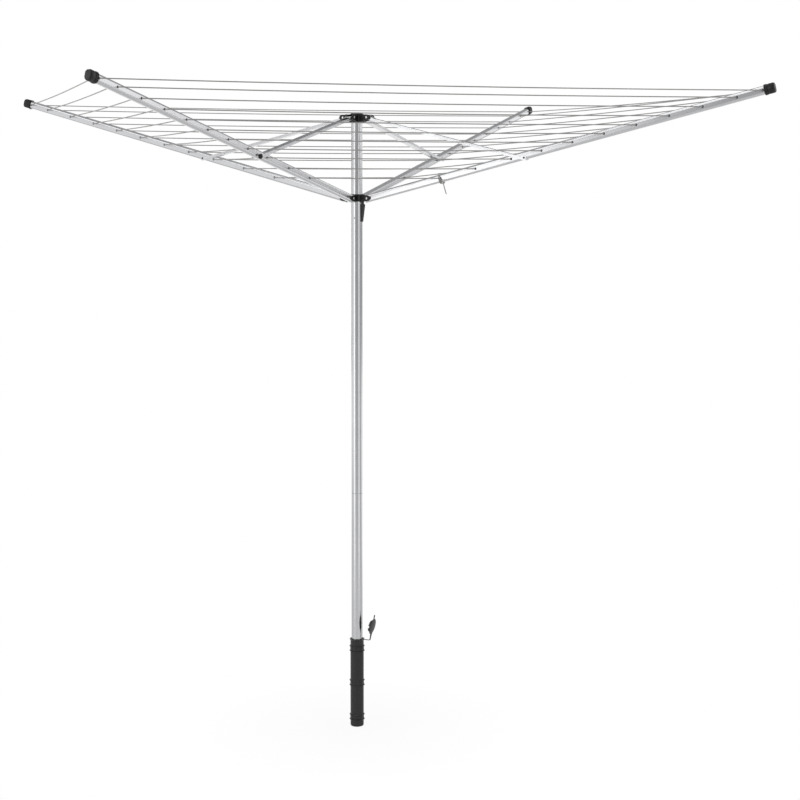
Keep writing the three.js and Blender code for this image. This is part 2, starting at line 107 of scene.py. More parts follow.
def station(azimuth, r=0.0, z=0.0, dip=0.0):
    """The frame whose +X points outward at an azimuth, at radius r and height z, dipping by an angle."""
    turn = Matrix.Rotation(azimuth, 4, "Z")
    return turn @ Matrix.Translation((r, 0, z)) @ Matrix.Rotation(dip, 4, "Y")


arm_places = [station(azimuth, pivot_r, runner_z, -arm_rise) for azimuth in azimuths]
strut_places = [station(azimuth, pivot_r, hub_z, strut_dip) for azimuth in azimuths]

# ---------- camera ----------
EYE = Vector((-1.6165, -5.8987, 2.0273))
HEADING = math.radians(73.222)
PITCH = math.radians(-7.593)
ROLL = math.radians(0.157)
LENS = 77.06                      # focal length and sensor width, in millimetres
SENSOR = 36


def new_object(name, data):
    thing = bpy.data.objects.new(name, data)
    bpy.context.scene.collection.objects.link(thing)
    return thing


def add_camera():
    data = bpy.data.cameras.new("camera")
    data.lens = LENS
    data.sensor_width = SENSOR
    data.clip_end = 100
    camera = new_object("camera", data)
    level = Matrix.Rotation(HEADING - math.pi / 2, 4, "Z") @ Matrix.Rotation(math.pi / 2 + PITCH, 4, "X")
    camera.matrix_world = Matrix.Translation(EYE) @ level @ Matrix.Rotation(ROLL, 4, "Z")
    bpy.context.scene.camera = camera


add_camera()


# ---------- materials ----------
class Shader:
    """A node material round one Principled shader, with short ways to add nodes."""

    def __init__(self, name, **constants):
        self.material = bpy.data.materials.new(name)
        self.material.use_nodes = True
        self.nodes = self.material.node_tree.nodes
        self.links = self.material.node_tree.links
        self.principled = self.nodes["Principled BSDF"]
        for socket, value in constants.items():
            self.principled.inputs[socket.replace("_", " ")].default_value = value

    def link(self, source, target):
        self.links.new(source, target)

    def place(self, scale, attribute="grain"):
        """The surface's own place in its piece, in metres, times a scale along each axis."""
        mapping = self.nodes.new("ShaderNodeMapping")
        mapping.inputs["Scale"].default_value = scale
        if attribute:
            source = self.nodes.new("ShaderNodeAttribute")
            source.attribute_name = attribute
            self.link(source.outputs["Vector"], mapping.inputs["Vector"])
        else:
            source = self.nodes.new("ShaderNodeTexCoord")
            self.link(source.outputs["Object"], mapping.inputs["Vector"])
        return mapping.outputs["Vector"]

    def noise(self, vector, detail=3.0, roughness=0.55):
        node = self.nodes.new("ShaderNodeTexNoise")
        node.inputs["Scale"].default_value = 1.0
        node.inputs["Detail"].default_value = detail
        node.inputs["Roughness"].default_value = roughness
        self.link(vector, node.inputs["Vector"])
        return node.outputs["Fac"]

    def ranged(self, value, low, high, to_low, to_high):
        node = self.nodes.new("ShaderNodeMapRange")
        limits = {"From Min": low, "From Max": high, "To Min": to_low, "To Max": to_high}
        for socket, number in limits.items():
            node.inputs[socket].default_value = number
        self.link(value, node.inputs["Value"])
        return node.outputs["Result"]

    def maths(self, operation, a, b=None):
        node = self.nodes.new("ShaderNodeMath")
        node.operation = operation
        for socket, value in zip(node.inputs, (a, b)):
            if isinstance(value, (int, float)):
                socket.default_value = value
            elif value is not None:
                self.link(value, socket)
        return node.outputs["Value"]

    def mixed(self, factor, first, second):
        node = self.nodes.new("ShaderNodeMix")
        node.data_type = "RGBA"
        colours = [s for s in node.inputs if s.type == "RGBA"]
        colours[0].default_value = (*first, 1)
        colours[1].default_value = (*second, 1)
        self.link(factor, node.inputs["Factor"])
        return [s for s in node.outputs if s.type == "RGBA"][0]

    def colour(self, output):
        self.link(output, self.principled.inputs["Base Color"])

    def roughness(self, output):
        self.link(output, self.principled.inputs["Roughness"])

    def bump(self, height, distance):
        node = self.nodes.new("ShaderNodeBump")
        node.inputs["Distance"].default_value = distance
        node.inputs["Strength"].default_value = 1.0
        self.link(height, node.inputs["Height"])
        before = self.principled.inputs["Normal"]
        if before.is_linked:
            self.link(before.links[0].from_socket, node.inputs["Normal"])
        self.link(node.outputs["Normal"], self.principled.inputs["Normal"])


def aluminium(name, along):
    """Mill-finish extrusion: die lines run along the given axis, with faint blotches and scuffs."""
    shader = Shader(name, Metallic=1.0)

    def drawn_out(lengthwise, crosswise):
        return shader.place([lengthwise if axis == along else crosswise for axis in "XYZ"])

    streaks = shader.noise(drawn_out(2.5, 700), detail=2)
    blotches = shader.noise(shader.place((7, 7, 7)), detail=5, roughness=0.6)
    scuffs = shader.noise(drawn_out(40, 160), detail=5, roughness=0.7)
    tone = shader.ranged(blotches, 0.3, 0.7, 0, 1)
    shader.colour(shader.mixed(tone, (0.77, 0.772, 0.782), (0.84, 0.843, 0.85)))
    satin = shader.ranged(streaks, 0.3, 0.7, 0.18, 0.23)
    worn = shader.ranged(scuffs, 0.62, 0.74, 0, 0.10)
    shader.roughness(shader.maths("ADD", satin, worn))
    shader.bump(streaks, 0.000006)
    return shader.material


def steel(name, dull=(0.74, 0.74, 0.73), bright=(0.86, 0.86, 0.85)):
    """Turned or headed steel, bright unless other colours are given."""
    shader = Shader(name, Metallic=1.0)
    turned = shader.noise(shader.place((900, 900, 900)), detail=3)
    shader.colour(shader.mixed(turned, dull, bright))
    shader.roughness(shader.ranged(turned, 0.3, 0.7, 0.16, 0.34))
    shader.bump(turned, 0.00001)
    return shader.material


def moulded(name, dark, light, satin, grain, attribute="grain"):
    """Moulded plastic: fine spark grain, slight flow marks and paler rubbed patches."""
    shader = Shader(name, Specular_IOR_Level=0.5)
    spark = shader.noise(shader.place((2600, 2600, 2600), attribute), detail=2)
    flow = shader.noise(shader.place((30, 30, 12), attribute), detail=4)
    rub = shader.noise(shader.place((140, 140, 90), attribute), detail=6, roughness=0.7)
    shader.colour(shader.mixed(shader.ranged(rub, 0.45, 0.75, 0, 1), dark, light))
    rough = shader.ranged(flow, 0.3, 0.7, satin - 0.06, satin + 0.06)
    shader.roughness(shader.maths("ADD", rough, shader.ranged(spark, 0.3, 0.7, -0.05, 0.05)))
    shader.bump(spark, grain)
    shader.bump(flow, 4 * grain)
    return shader.material


def sheathed(name):
    """The line's grey sheath: the twist of the core shows through as a shallow helix."""
    shader = Shader(name, Specular_IOR_Level=0.5)
    split = shader.nodes.new("ShaderNodeSeparateXYZ")
    shader.link(shader.place((1, 1, 1)), split.inputs["Vector"])
    turn = shader.maths("ARCTAN2", split.outputs["Z"], split.outputs["Y"])
    strands, pitch = 3, 12 * MM
    phase = shader.maths("MULTIPLY", split.outputs["X"], math.tau / pitch)
    helix = shader.maths("SINE", shader.maths("ADD", shader.maths("MULTIPLY", turn, strands), phase))
    grime = shader.noise(shader.place((14, 400, 400)), detail=5)
    tone = shader.ranged(grime, 0.3, 0.7, 0, 1)
    shader.colour(shader.mixed(tone, (0.35, 0.343, 0.333), (0.46, 0.452, 0.437)))
    shader.roughness(shader.ranged(grime, 0.3, 0.7, 0.38, 0.52))
    shader.bump(helix, 0.00012)
    return shader.material


BLACK = dict(dark=(0.006, 0.006, 0.0065), light=(0.014, 0.014, 0.015), satin=0.38, grain=0.000008)
CHARCOAL = dict(dark=(0.023, 0.023, 0.024), light=(0.034, 0.034, 0.036), satin=0.3, grain=0.000006)
LOOKS = {
    "pole": aluminium("aluminium_pole", "Z"),
    "extrusion": aluminium("aluminium_extrusion", "X"),
    "steel": steel("rivet_steel"),
    "blackened": steel("blackened_steel", (0.05, 0.05, 0.05), (0.09, 0.09, 0.09)),
    "black": moulded("black_plastic", **BLACK),
    "ground": moulded("ground_plastic", **CHARCOAL),
    "black_frame": moulded("black_plastic_frame", attribute=None, **BLACK),
    "line": sheathed("line_sheath"),
}


# ---------- meshes ----------
def loft(mesh, rings, closed=False):
    """Skins rings of equally many points. The ends are capped, or joined to each other where closed."""
    made = [[mesh.verts.new(point) for point in ring] for ring in rings]
    pairs = list(zip(made, made[1:]))
    if closed:
        pairs.append((made[-1], made[0]))
    for one, two in pairs:
        for i in range(len(one)):
            j = (i + 1) % len(one)
            mesh.faces.new((one[i], one[j], two[j], two[i]))
    if not closed:
        mesh.faces.new(reversed(made[0]))
        mesh.faces.new(made[-1])
    return mesh


def lathe(outline, sides):
    """Turns an outline of (radius, height) about Z. It closes on itself, or starts and ends on the axis."""
    mesh = bmesh.new()
    on_axis = outline[0][0] < 1e-9
    columns = []
    ends = [mesh.verts.new((0, 0, outline[i][1])) for i in (0, -1)] if on_axis else []
    body = outline[1:-1] if on_axis else outline
    for k in range(sides):
        angle = math.tau * k / sides
        columns.append([mesh.verts.new((r * math.cos(angle), r * math.sin(angle), z)) for r, z in body])
    for k in range(sides):
        one, two = columns[k], columns[(k + 1) % sides]
        for i in range(len(body) - 1):
            mesh.faces.new((one[i], two[i], two[i + 1], one[i + 1]))
        if on_axis:
            mesh.faces.new((ends[0], two[0], one[0]))
            mesh.faces.new((ends[1], one[-1], two[-1]))
        else:
            mesh.faces.new((one[-1], two[-1], two[0], one[0]))
    return mesh


def arc(centre, radius, start, end, steps):
    """Points on an arc in a plane, angles in degrees."""
    angles = [math.radians(start + (end - start) * i / steps) for i in range(steps + 1)]
    return [(centre[0] + radius * math.cos(a), centre[1] + radius * math.sin(a)) for a in angles]


def prism(outline, low, high, axis="Y"):
    """An outline of (x, z) between two values of y, or of (x, y) between two values of z."""
    if axis == "Y":
        rings = [[(x, level, z) for x, z in outline] for level in (low, high)]
    else:
        rings = [[(x, y, level) for x, y in outline] for level in (low, high)]
    mesh = loft(bmesh.new(), rings)
    bmesh.ops.recalc_face_normals(mesh, faces=mesh.faces)
    return mesh


def block(x, y, z):
    """A block between pairs of x, y and z."""
    return prism([(x[0], y[0]), (x[1], y[0]), (x[1], y[1]), (x[0], y[1])], z[0], z[1], axis="Z")


def rod(radius, x, z, low, high, sides=32):
    """A rod along Y."""
    return prism(arc((x, z), radius, 0, 360, sides)[:-1], low, high)


def moved(mesh, matrix):
    mesh.transform(matrix)
    return mesh


def crossways(outline, sides):
    """A lathed outline laid along Y."""
    return moved(lathe(outline, sides), Matrix.Rotation(-math.pi / 2, 4, "X"))


def crown(radius, level, rise, steps):
    """The outline of a rounded top, from its rim at a level to the axis."""
    angles = [math.pi / 2 * i / steps for i in range(steps)]
    return [*((radius * math.cos(a), level + rise * math.sin(a)) for a in angles), (0, level + rise)]


def merged(meshes):
    """Several closed shells as one mesh."""
    whole = bmesh.new()
    for mesh in meshes:
        data = to_data("merging", mesh)
        whole.from_mesh(data)
        bpy.data.meshes.remove(data)
    return whole


def to_data(name, mesh):
    data = bpy.data.meshes.new(name)
    mesh.to_mesh(data)
    mesh.free()
    return data


def carve(base, others, operation="UNION"):
    """The base mesh with each of the others joined to it or cut from it."""
    target = new_object("carving", to_data("carving", base))
    tools = []
    for other in others:
        tool = new_object("tool", to_data("tool", other))
        modifier = target.modifiers.new("carve", "BOOLEAN")
        modifier.operation = operation
        modifier.solver = "EXACT"
        modifier.object = tool
        tools.append(tool)
    bpy.context.view_layer.update()
    depsgraph = bpy.context.evaluated_depsgraph_get()
    data = bpy.data.meshes.new_from_object(target.evaluated_get(depsgraph))
    result = bmesh.new()
    result.from_mesh(data)
    for thing in [target, *tools]:
        bpy.data.meshes.remove(thing.data)
    bpy.data.meshes.remove(data)
    bmesh.ops.remove_doubles(result, verts=result.verts, dist=1e-6)
    bmesh.ops.dissolve_degenerate(result, edges=result.edges, dist=1e-6)
    return result


def piece(name, mesh, body, look, place=None, nodes=(), bevel=0.0, sharp=40):
    """A finished piece of the object: its mesh in its own frame, its place, its body and its material."""
    bmesh.ops.recalc_face_normals(mesh, faces=mesh.faces)
    data = to_data(name, mesh)
    grain = data.attributes.new("grain", "FLOAT_VECTOR", "POINT")
    grain.data.foreach_set("vector", [c for vertex in data.vertices for c in vertex.co])
    data.shade_smooth()
    data.materials.append(LOOKS[look])
    thing = new_object(name, data)
    if place is not None:
        thing.matrix_world = place
    if bevel:
        modifier = thing.modifiers.new("bevel", "BEVEL")
        modifier.width = bevel
        modifier.segments = 2
        modifier.limit_method = "ANGLE"
        modifier.angle_limit = math.radians(sharp)
        weighted = thing.modifiers.new("weighted", "WEIGHTED_NORMAL")
        weighted.keep_sharp = True
    else:
        data.set_sharp_from_angle(angle=math.radians(sharp))
    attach(thing, body)
    if nodes:
        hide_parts(*nodes)
    return thing


def rounded_rectangle(width, height, radius, steps):
    """The outline of a rounded rectangle, anticlockwise."""
    x, y = width / 2 - radius, height / 2 - radius
    points = []
    for cx, cy, start in ((x, -y, -90), (x, y, 0), (-x, y, 90), (-x, -y, 180)):
        points += arc((cx, cy), radius, start, start + 90, steps)
    return points


# ---------- the line's free end ----------
KNOT_ACROSS = 17 * MM
KNOT_UP = -7 * MM
# from the knot: outward along the arm, away from it sideways, and up
TAIL = [(4.9, 0.6, -0.8), (6.6, 1, -1.1), (8.4, 1.4, -2), (10, 1.7, -3.6), (11.4, 2, -5.9), (12.7, 2.2, -9),
        (13.9, 2.4, -12.5), (15.1, 2.6, -16.2), (16.3, 2.7, -20), (17.6, 2.8, -23.9), (18.9, 2.9, -27.8),
        (20.2, 3, -31.7), (21.5, 3, -35.6), (22.8, 3, -39.5), (24.1, 3, -43.4), (25.3, 3, -47.3)]
knot_centre = arm_places[TIED] @ Vector((EYELETS[0], -KNOT_ACROSS, KNOT_UP))


def add_tail():
    turn = Matrix.Rotation(azimuths[TIED], 3, "Z")
    points = [knot_centre + turn @ Vector((out, -side, up)) * MM for out, side, up in TAIL]
    curve = bpy.data.curves.new("line_free_end", "CURVE")
    curve.dimensions = "3D"
    curve.bevel_depth = LINE_R
    curve.bevel_resolution = 5
    curve.use_fill_caps = True
    spline = curve.splines.new("POLY")
    spline.points.add(len(points) - 1)
    for target, point in zip(spline.points, points):
        target.co = (*point, 1)
    curve.materials.append(LOOKS["line"])
    tail = new_object("line_free_end", curve)
    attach(tail, "arm_2")
    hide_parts("line_tail")


add_tail()


# ---------- the line ----------
def tube(points, radius, ball=False):
    """A round tube through points, with flat ends or, as a ball, rounded ones."""
    sides = 12
    points = [Vector(point) for point in points]
    directions = []
    for i in range(len(points)):
        before, after = points[max(i - 1, 0)], points[min(i + 1, len(points) - 1)]
        directions.append((after - before).normalized())
    side = directions[0].orthogonal().normalized()
    rings = []
    for i, (point, direction) in enumerate(zip(points, directions)):
        side = (side - direction * side.dot(direction)).normalized()
        other = direction.cross(side)
        slices = [(radius, 0)]
        if ball and i in (0, len(points) - 1):
            outward = -1 if i == 0 else 1
            for tilt in (math.radians(50), math.radians(15)):
                slices.append((radius * math.sin(tilt), outward * radius * math.cos(tilt)))
            slices = slices[::outward]
        for r, shift in slices:
            centre = point + direction * shift
            ring = []
            for k in range(sides):
                angle = math.tau * k / sides
                ring.append(centre + side * (r * math.cos(angle)) + other * (r * math.sin(angle)))
            rings.append(ring)
    return loft(bmesh.new(), rings)


def line_piece(name, points, body, ball=False, nodes=()):
    """A piece of the line. Its own X runs along it, for the sheath's twist to follow."""
    mesh = tube(points, LINE_R, ball=ball)
    start, end = Vector(points[0]), Vector(points[-1])
    along = (end - start).normalized()
    turn = along.to_track_quat("X", "Z").to_matrix().to_4x4()
    place = Matrix.Translation(start) @ turn
    mesh.transform(place.inverted())
    return piece(name, mesh, body, "line", place, nodes=nodes, sharp=60)


SAG = 0.0025                      # of a span's length


def on_arm(index, along, across, up=0.0):
    return arm_places[index] @ Vector((along, across, up))


def half_span(name, body, index, start, end, share):
    """Half of a span, from its bend beside an arm to the plane midway between two arms."""
    points = []
    length = (end - start).length
    steps = 12
    for i in range(steps + 1):
        fraction = share * i / steps
        drop = 4 * SAG * length * fraction * (1 - fraction)
        points.append(start.lerp(end, fraction) - Vector((0, 0, drop)))
    thing = line_piece(name, points, body)
    place = arm_places[index]
    middle = place.inverted() @ points[-1]
    bend = place.inverted() @ start
    across = Vector((0, middle.y - bend.y, middle.z - bend.z))
    spread = across.length
    across.normalize()
    # the share to lose, for the far end to meet the plane midway between two arms once they are folded
    out, sine = abs(middle.y), math.sin(FOLDED_RISE)
    gone = out + middle.z * sine - pivot_r - middle.x * math.cos(FOLDED_RISE)
    gone /= spread * (abs(across.y) + across.z * sine)
    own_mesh(thing)


def span(number, one, two, along_one, along_two):
    """A span from one arm clockwise to the next, in two halves that each stay with their own arm."""
    start = on_arm(one, along_one, -LINE_BEND)
    end = on_arm(two, along_two, LINE_BEND)
    middle = (azimuths[one] + azimuths[two]) / 2
    if abs(azimuths[one] - azimuths[two]) > math.pi:
        middle += math.pi
    normal = Vector((-math.sin(middle), math.cos(middle), 0))
    share = start.dot(normal) / (start - end).dot(normal)
    half_span(f"line_{number:02d}_leaving_arm_{one + 1}", f"arm_{one + 1}", one, start, end, share)
    half_span(f"line_{number:02d}_reaching_arm_{two + 1}", f"arm_{two + 1}", two, end, start, 1 - share)


def add_line():
    """The line runs clockwise from arm to arm, one eyelet further out at each round."""
    winding = [TIED, 0, 3, 2]
    stops = [(index, along) for along in EYELETS for index in winding]
    stops.append((TIED, ANCHOR))
    for number, ((one, along_one), (two, along_two)) in enumerate(zip(stops, stops[1:]), start=1):
        span(number, one, two, along_one, along_two)
    for index in range(4):
        for number, along in enumerate(EYELETS, start=1):
            name = f"line_through_arm_{index + 1}_eyelet_{number:02d}"
            ends = [on_arm(index, along, side * LINE_BEND) for side in (-1, 1)]
            nodes = ["clothesline"] if index == 0 and number == 1 else ()
            line_piece(name, ends, f"arm_{index + 1}", ball=True, nodes=nodes)
    ends = [on_arm(TIED, ANCHOR, share * LINE_BEND) for share in (0.3, 1)]
    line_piece("line_outer_end", ends, "arm_2", ball=True)


def add_knot():
    """The inner end is tied round arm 2: under it to the first eyelet, and once more right round it."""
    under = [(-15.6, -12.2), (-12.5, -16.4), (-6, -18.4), (4, -18.4), (12, -16), (17, -10), (17.4, -4)]
    once = [(-16.4, -8), (-15.6, -12), (-12.6, -15.6), (-7, -17), (7, -17), (12.6, -15.2), (14.2, -10),
            (14.3, 10), (12.4, 15.4), (7, 17.2), (-7, 17.2), (-12.4, 15.8), (-15.2, 10), (-16.6, 2),
            (-17, -5)]
    for name, section, back in (("line_tied_under", under, 0), ("line_tied_round", once, 4.5 * MM)):
        points = [on_arm(TIED, EYELETS[0] - back, y * MM, z * MM) for y, z in section]
        line_piece(name, points, "arm_2", ball=True)
    turns = []
    steps = 72
    for i in range(steps + 1):
        angle = math.tau * i / steps
        x = math.sin(angle) + 1.7 * math.sin(2 * angle)
        y = math.cos(angle) - 1.7 * math.cos(2 * angle)
        z = -1.1 * math.sin(3 * angle)
        turns.append(knot_centre + Vector((x, z, 1.5 * y)) * 1.25 * MM)
    line_piece("line_knot_turns", turns, "arm_2", ball=True, nodes=["line_knot"])


add_line()
add_knot()


# ---------- rivets and pins ----------
def domed(radius, height, dimple=0.0):
    """The outline of a rivet head's crown from its rim to the axis, with the mandrel's dimple where given."""
    points = []
    steps = 8
    for i in range(steps + 1):
        angle = math.pi / 2 * i / steps
        r = radius * math.cos(angle)
        if r > dimple:
            points.append((r, height * (0.3 + 0.7 * math.sin(angle))))
    if dimple:
        level = height * 0.98
        points += [(dimple, level), (0.8 * dimple, level - 0.5 * MM), (0, level - 0.55 * MM)]
    else:
        points[-1] = (0, height)
    return points


def pin(name, body, place, node, size, look="steel"):
    """A solid rivet along Y, headed at both ends of its grip."""
    shank_r, head_r, head, grip = (value * MM for value in PINS[size])
    half = grip / 2
    dome = [(r, half + z) for r, z in domed(head_r, head)]
    outline = [(0, -half - head), *((r, -z) for r, z in reversed(dome[:-1])), (head_r, -half),
               (shank_r, -half), (shank_r, half), (head_r, half), *dome]
    piece(name, crossways(outline, 32), body, look, place, nodes=[node], sharp=50)


def blind_rivet(name, azimuth, z, wall_r, node):
    """A blind rivet with its mandrel's stub in a dimple of the head."""
    shank_r, head_r, head, dimple = 2.2 * MM, 3.6 * MM, 1.5 * MM, 1.3 * MM
    end, seat = wall_r - 4 * MM, wall_r + 0.2 * MM
    dome = [(r, seat + h) for r, h in domed(head_r, head, dimple)]
    outline = [(0, end), (shank_r, end), (shank_r, seat), (head_r, seat), *dome]
    place = station(azimuth - math.pi / 2, 0, z)
    piece(name, crossways(outline, 32), "mast", "steel", place, nodes=[node], sharp=50)


# ---------- pole ----------
SEAM = GROUND + 0.543
SPIGOT = 80 * MM
POLE_RIVET = GROUND + 1.534
pole_inner = POLE_R - POLE_WALL
pole_bottom = 14.6 * MM
pole_top = hub_z + TOP_HUB["up"] - 1 * MM


def add_pole():
    """The upper tube is necked to a spigot that goes into the lower tube at the seam."""
    soft = 0.4 * MM
    neck = pole_inner - 0.3 * MM
    bore = neck - POLE_WALL
    upper = [(bore, SEAM - SPIGOT), (neck, SEAM - SPIGOT), (neck, SEAM), (POLE_R - soft, SEAM),
             (POLE_R, SEAM + soft), (POLE_R, pole_top - soft), (POLE_R - soft, pole_top),
             (pole_inner, pole_top), (pole_inner, SEAM + POLE_WALL), (bore, SEAM + POLE_WALL)]
    piece("pole_upper_tube", lathe(upper, 128), "mast", "pole", nodes=["pole_upper"])
    seam = SEAM - 1 * MM
    lower = [(pole_inner, pole_bottom), (POLE_R - soft, pole_bottom), (POLE_R, pole_bottom + soft),
             (POLE_R, seam - soft), (POLE_R - soft, seam), (pole_inner, seam)]
    piece("pole_lower_tube", lathe(lower, 128), "mast", "pole", nodes=["pole_lower"])
    blind_rivet("pole_blind_rivet", azimuths[0], POLE_RIVET, POLE_R, "pole_rivet")


add_pole()


# ---------- hubs ----------
def sleeve(size):
    soft = 1.0 * MM
    outer, inner, low, high = size["body_r"], size["bore"], -size["down"], size["up"]
    bottom = arc((outer - soft, low + soft), soft, -90, 0, 4)
    top = arc((outer - soft, high - soft), soft, 0, 90, 4)
    return lathe([(inner, low), *bottom, *top, (inner, high)], 96)


def ear_outline(up, down):
    """From inside the sleeve out round the pivot and back."""
    points = [(EAR["root_x"], up), (EAR["root_x"], -down), (TOP_HUB["body_r"], -down)]
    steps = 20
    for i in range(steps + 1):
        angle = -math.pi / 2 + math.pi * i / steps
        points.append((pivot_r + EAR["tip_x"] * math.cos(angle), EAR["tip_z"] * math.sin(angle)))
    points.append((TOP_HUB["body_r"], up))
    return points


def hub(size, extras, cuts=()):
    """A sleeve with two ears at each arm, and a boss round each pin that stands a little proud of them."""
    outline = ear_outline(size["up"] - 2 * MM, size["down"] - 1 * MM)
    inward, outward = 0.1 * MM, 0.25 * MM
    shells = []
    for azimuth in azimuths:
        turn = Matrix.Rotation(azimuth, 4, "Z")
        for side in (-1, 1):
            faces = sorted((side * size["ear_in"], side * size["ear_out"]))
            shells.append(moved(prism(outline, *faces), turn))
            faces = sorted((side * (size["ear_in"] - inward), side * (size["ear_out"] + outward)))
            shells.append(moved(rod(EAR["boss_r"], pivot_r, 0, *faces), turn))
    far = 60 * MM
    bore = lathe([(0, -far), (size["bore"], -far), (size["bore"], far), (0, far)], 96)
    return carve(carve(sleeve(size), [*shells, *extras]), [bore, *cuts], "DIFFERENCE")


def add_top_hub():
    """The hub with its rivet's boss, and the cap whose plug goes into the pole."""
    boss_face = 28.2 * MM
    boss = rod(5 * MM, 0, 0, POLE_R + 2 * MM, boss_face)
    place = Matrix.Translation((0, 0, hub_z))
    piece("top_hub_moulding", hub(TOP_HUB, [boss]), "mast", "black", place, nodes=["top_hub"], bevel=0.6 * MM)
    blind_rivet("hub_blind_rivet", math.pi / 2, hub_z, boss_face, "hub_rivet")
    base = TOP_HUB["up"] + 0.3 * MM
    r, plug_r, plug_end, soft = 21.5 * MM, 18.2 * MM, base - 8 * MM, 0.4 * MM
    outline = [(0, plug_end), (plug_r, plug_end), (plug_r, base), (r - soft, base), (r, base + soft),
               *crown(r, base + 1 * MM, 2.6 * MM, 12)]
    piece("top_cap_dome", lathe(outline, 96), "mast", "black", place, nodes=["top_cap"])


def add_runner():
    """The runner with the tongue that holds the lever, and a keyway that clears the pole's rivet."""
    turn = Matrix.Rotation(azimuths[LEVER["arm"]], 4, "Z")
    outline = [(LEVER["r"] - TONGUE["reach"], TONGUE["root"])]
    outline += arc((LEVER["r"], -LEVER["drop"]), TONGUE["reach"], 180, 360, 16)
    outline.append((LEVER["r"] + TONGUE["reach"], TONGUE["root"]))
    tongue = moved(prism(outline, -TONGUE["width"] / 2, TONGUE["width"] / 2), turn)
    key_half, far = 4.2 * MM, 30 * MM
    keyway = moved(block((10 * MM, 22.4 * MM), (-key_half, key_half), (-far, far)),
                   Matrix.Rotation(azimuths[0], 4, "Z"))
    pin_hole = moved(rod(HOLES["lever"], LEVER["r"], -LEVER["drop"], -6 * MM, 6 * MM), turn)
    mesh = hub(RUNNER, [tongue], [keyway, pin_hole])
    place = Matrix.Translation((0, 0, runner_z))
    piece("runner_moulding", mesh, "runner", "black", place, nodes=["runner"], bevel=0.6 * MM)


def add_lever():
    """A fork round the runner's tongue, with a cam heel, and a grip that tapers to a thin tip."""
    heel, top, step, length = -GRIP["heel"], GRIP["heel"], GRIP["step"], -GRIP["length"]
    foot, tip = top - GRIP["step_height"], heel + GRIP["tip"]
    outline = [(heel, 0), (heel, length + 1), (heel + 0.6, length), (tip - 0.4, length), (tip, length + 1),
               (step, foot), (step, top - 0.8), (step - 0.8, top), *arc((0, 0), top, 90, 180, 12)[:-1]]
    outline = [(x * MM, z * MM) for x, z in outline]
    half = LEVER["width"] / 2
    ribs = []
    rib_half = half - 1.5 * MM
    first, gap, sunk = 5, 3.4, 0.15
    for i in range(6):
        up = first + gap * i
        out = tip + up * (step - tip) / (foot - length) - sunk
        ribs.append(rod(0.6 * MM, out * MM, (length + up) * MM, -rib_half, rib_half, sides=12))
    slot = TONGUE["width"] / 2 + 0.3 * MM
    pin_hole = rod(HOLES["lever"], 0, 0, -half - 1 * MM, half + 1 * MM)
    fork = block((-2 * half, 2 * half), (-slot, slot), (-LEVER["slot"], half * 2))
    lever = carve(carve(prism(outline, -half, half), ribs), [pin_hole, fork], "DIFFERENCE")
    place = station(azimuths[LEVER["arm"]], LEVER["r"], runner_z - LEVER["drop"])
    piece("clamp_lever_moulding", lever, "lever", "black", place, nodes=["clamp_lever"], bevel=0.5 * MM)
    pin("lever_pin_rivet", "runner", place, "lever_pin", "lever", look="blackened")


add_top_hub()
add_runner()
add_lever()


# ---------- arms ----------
def arm_tube(with_anchor):
    """The extrusion, bored for its pins and for the line."""
    steps = 10
    outer = rounded_rectangle(ARM["width"], ARM["height"], ARM["corner"], steps)
    wall = ARM["wall"]
    inner = rounded_rectangle(ARM["width"] - 2 * wall, ARM["height"] - 2 * wall, ARM["corner"] - wall, steps)
    low, high = ARM["inner"], ARM["outer"]
    rings = [[(x, y, z) for y, z in outline] for x, outline in
             ((low, outer), (high, outer), (high, inner), (low, inner))]
    shell = loft(bmesh.new(), rings, closed=True)
    bmesh.ops.recalc_face_normals(shell, faces=shell.faces)
    through = ARM["width"]
    holes = [rod(EYELET_R, x, 0, -through, through, sides=24) for x in EYELETS]
    if with_anchor:
        holes.append(rod(EYELET_R, ANCHOR, 0, 0, through, sides=24))
    holes.append(rod(HOLES["pivot"], 0, 0, -through, through, sides=24))
    holes.append(rod(HOLES["strut"], pin_along, -PIN_DROP, -through, through, sides=24))
    return carve(shell, [merged(holes)], "DIFFERENCE")


def grommets(with_anchor):
    """A grommet in each hole. Its flange is thin enough to pass inside the strut as the arm folds."""
    face = ARM["width"] / 2
    lip = [(4.1, 0.03), (4.2, 0.12), (4.0, 0.25), (3.2, 0.32), (2.4, 0.28), (2.1, 0.1),
           (2.1, -1.8), (3.0, -1.8), (3.0, 0.03)]   # radius, and height from the wall's face, in millimetres
    holes = [(x, side) for x in EYELETS for side in (-1, 1)]
    if with_anchor:
        holes.append((ANCHOR, 1))
    rims = []
    for x, side in holes:
        rim = crossways([(r * MM, side * (face + y * MM)) for r, y in lip], 24)
        rims.append(moved(rim, Matrix.Translation((x, 0, 0))))
    return merged(rims)


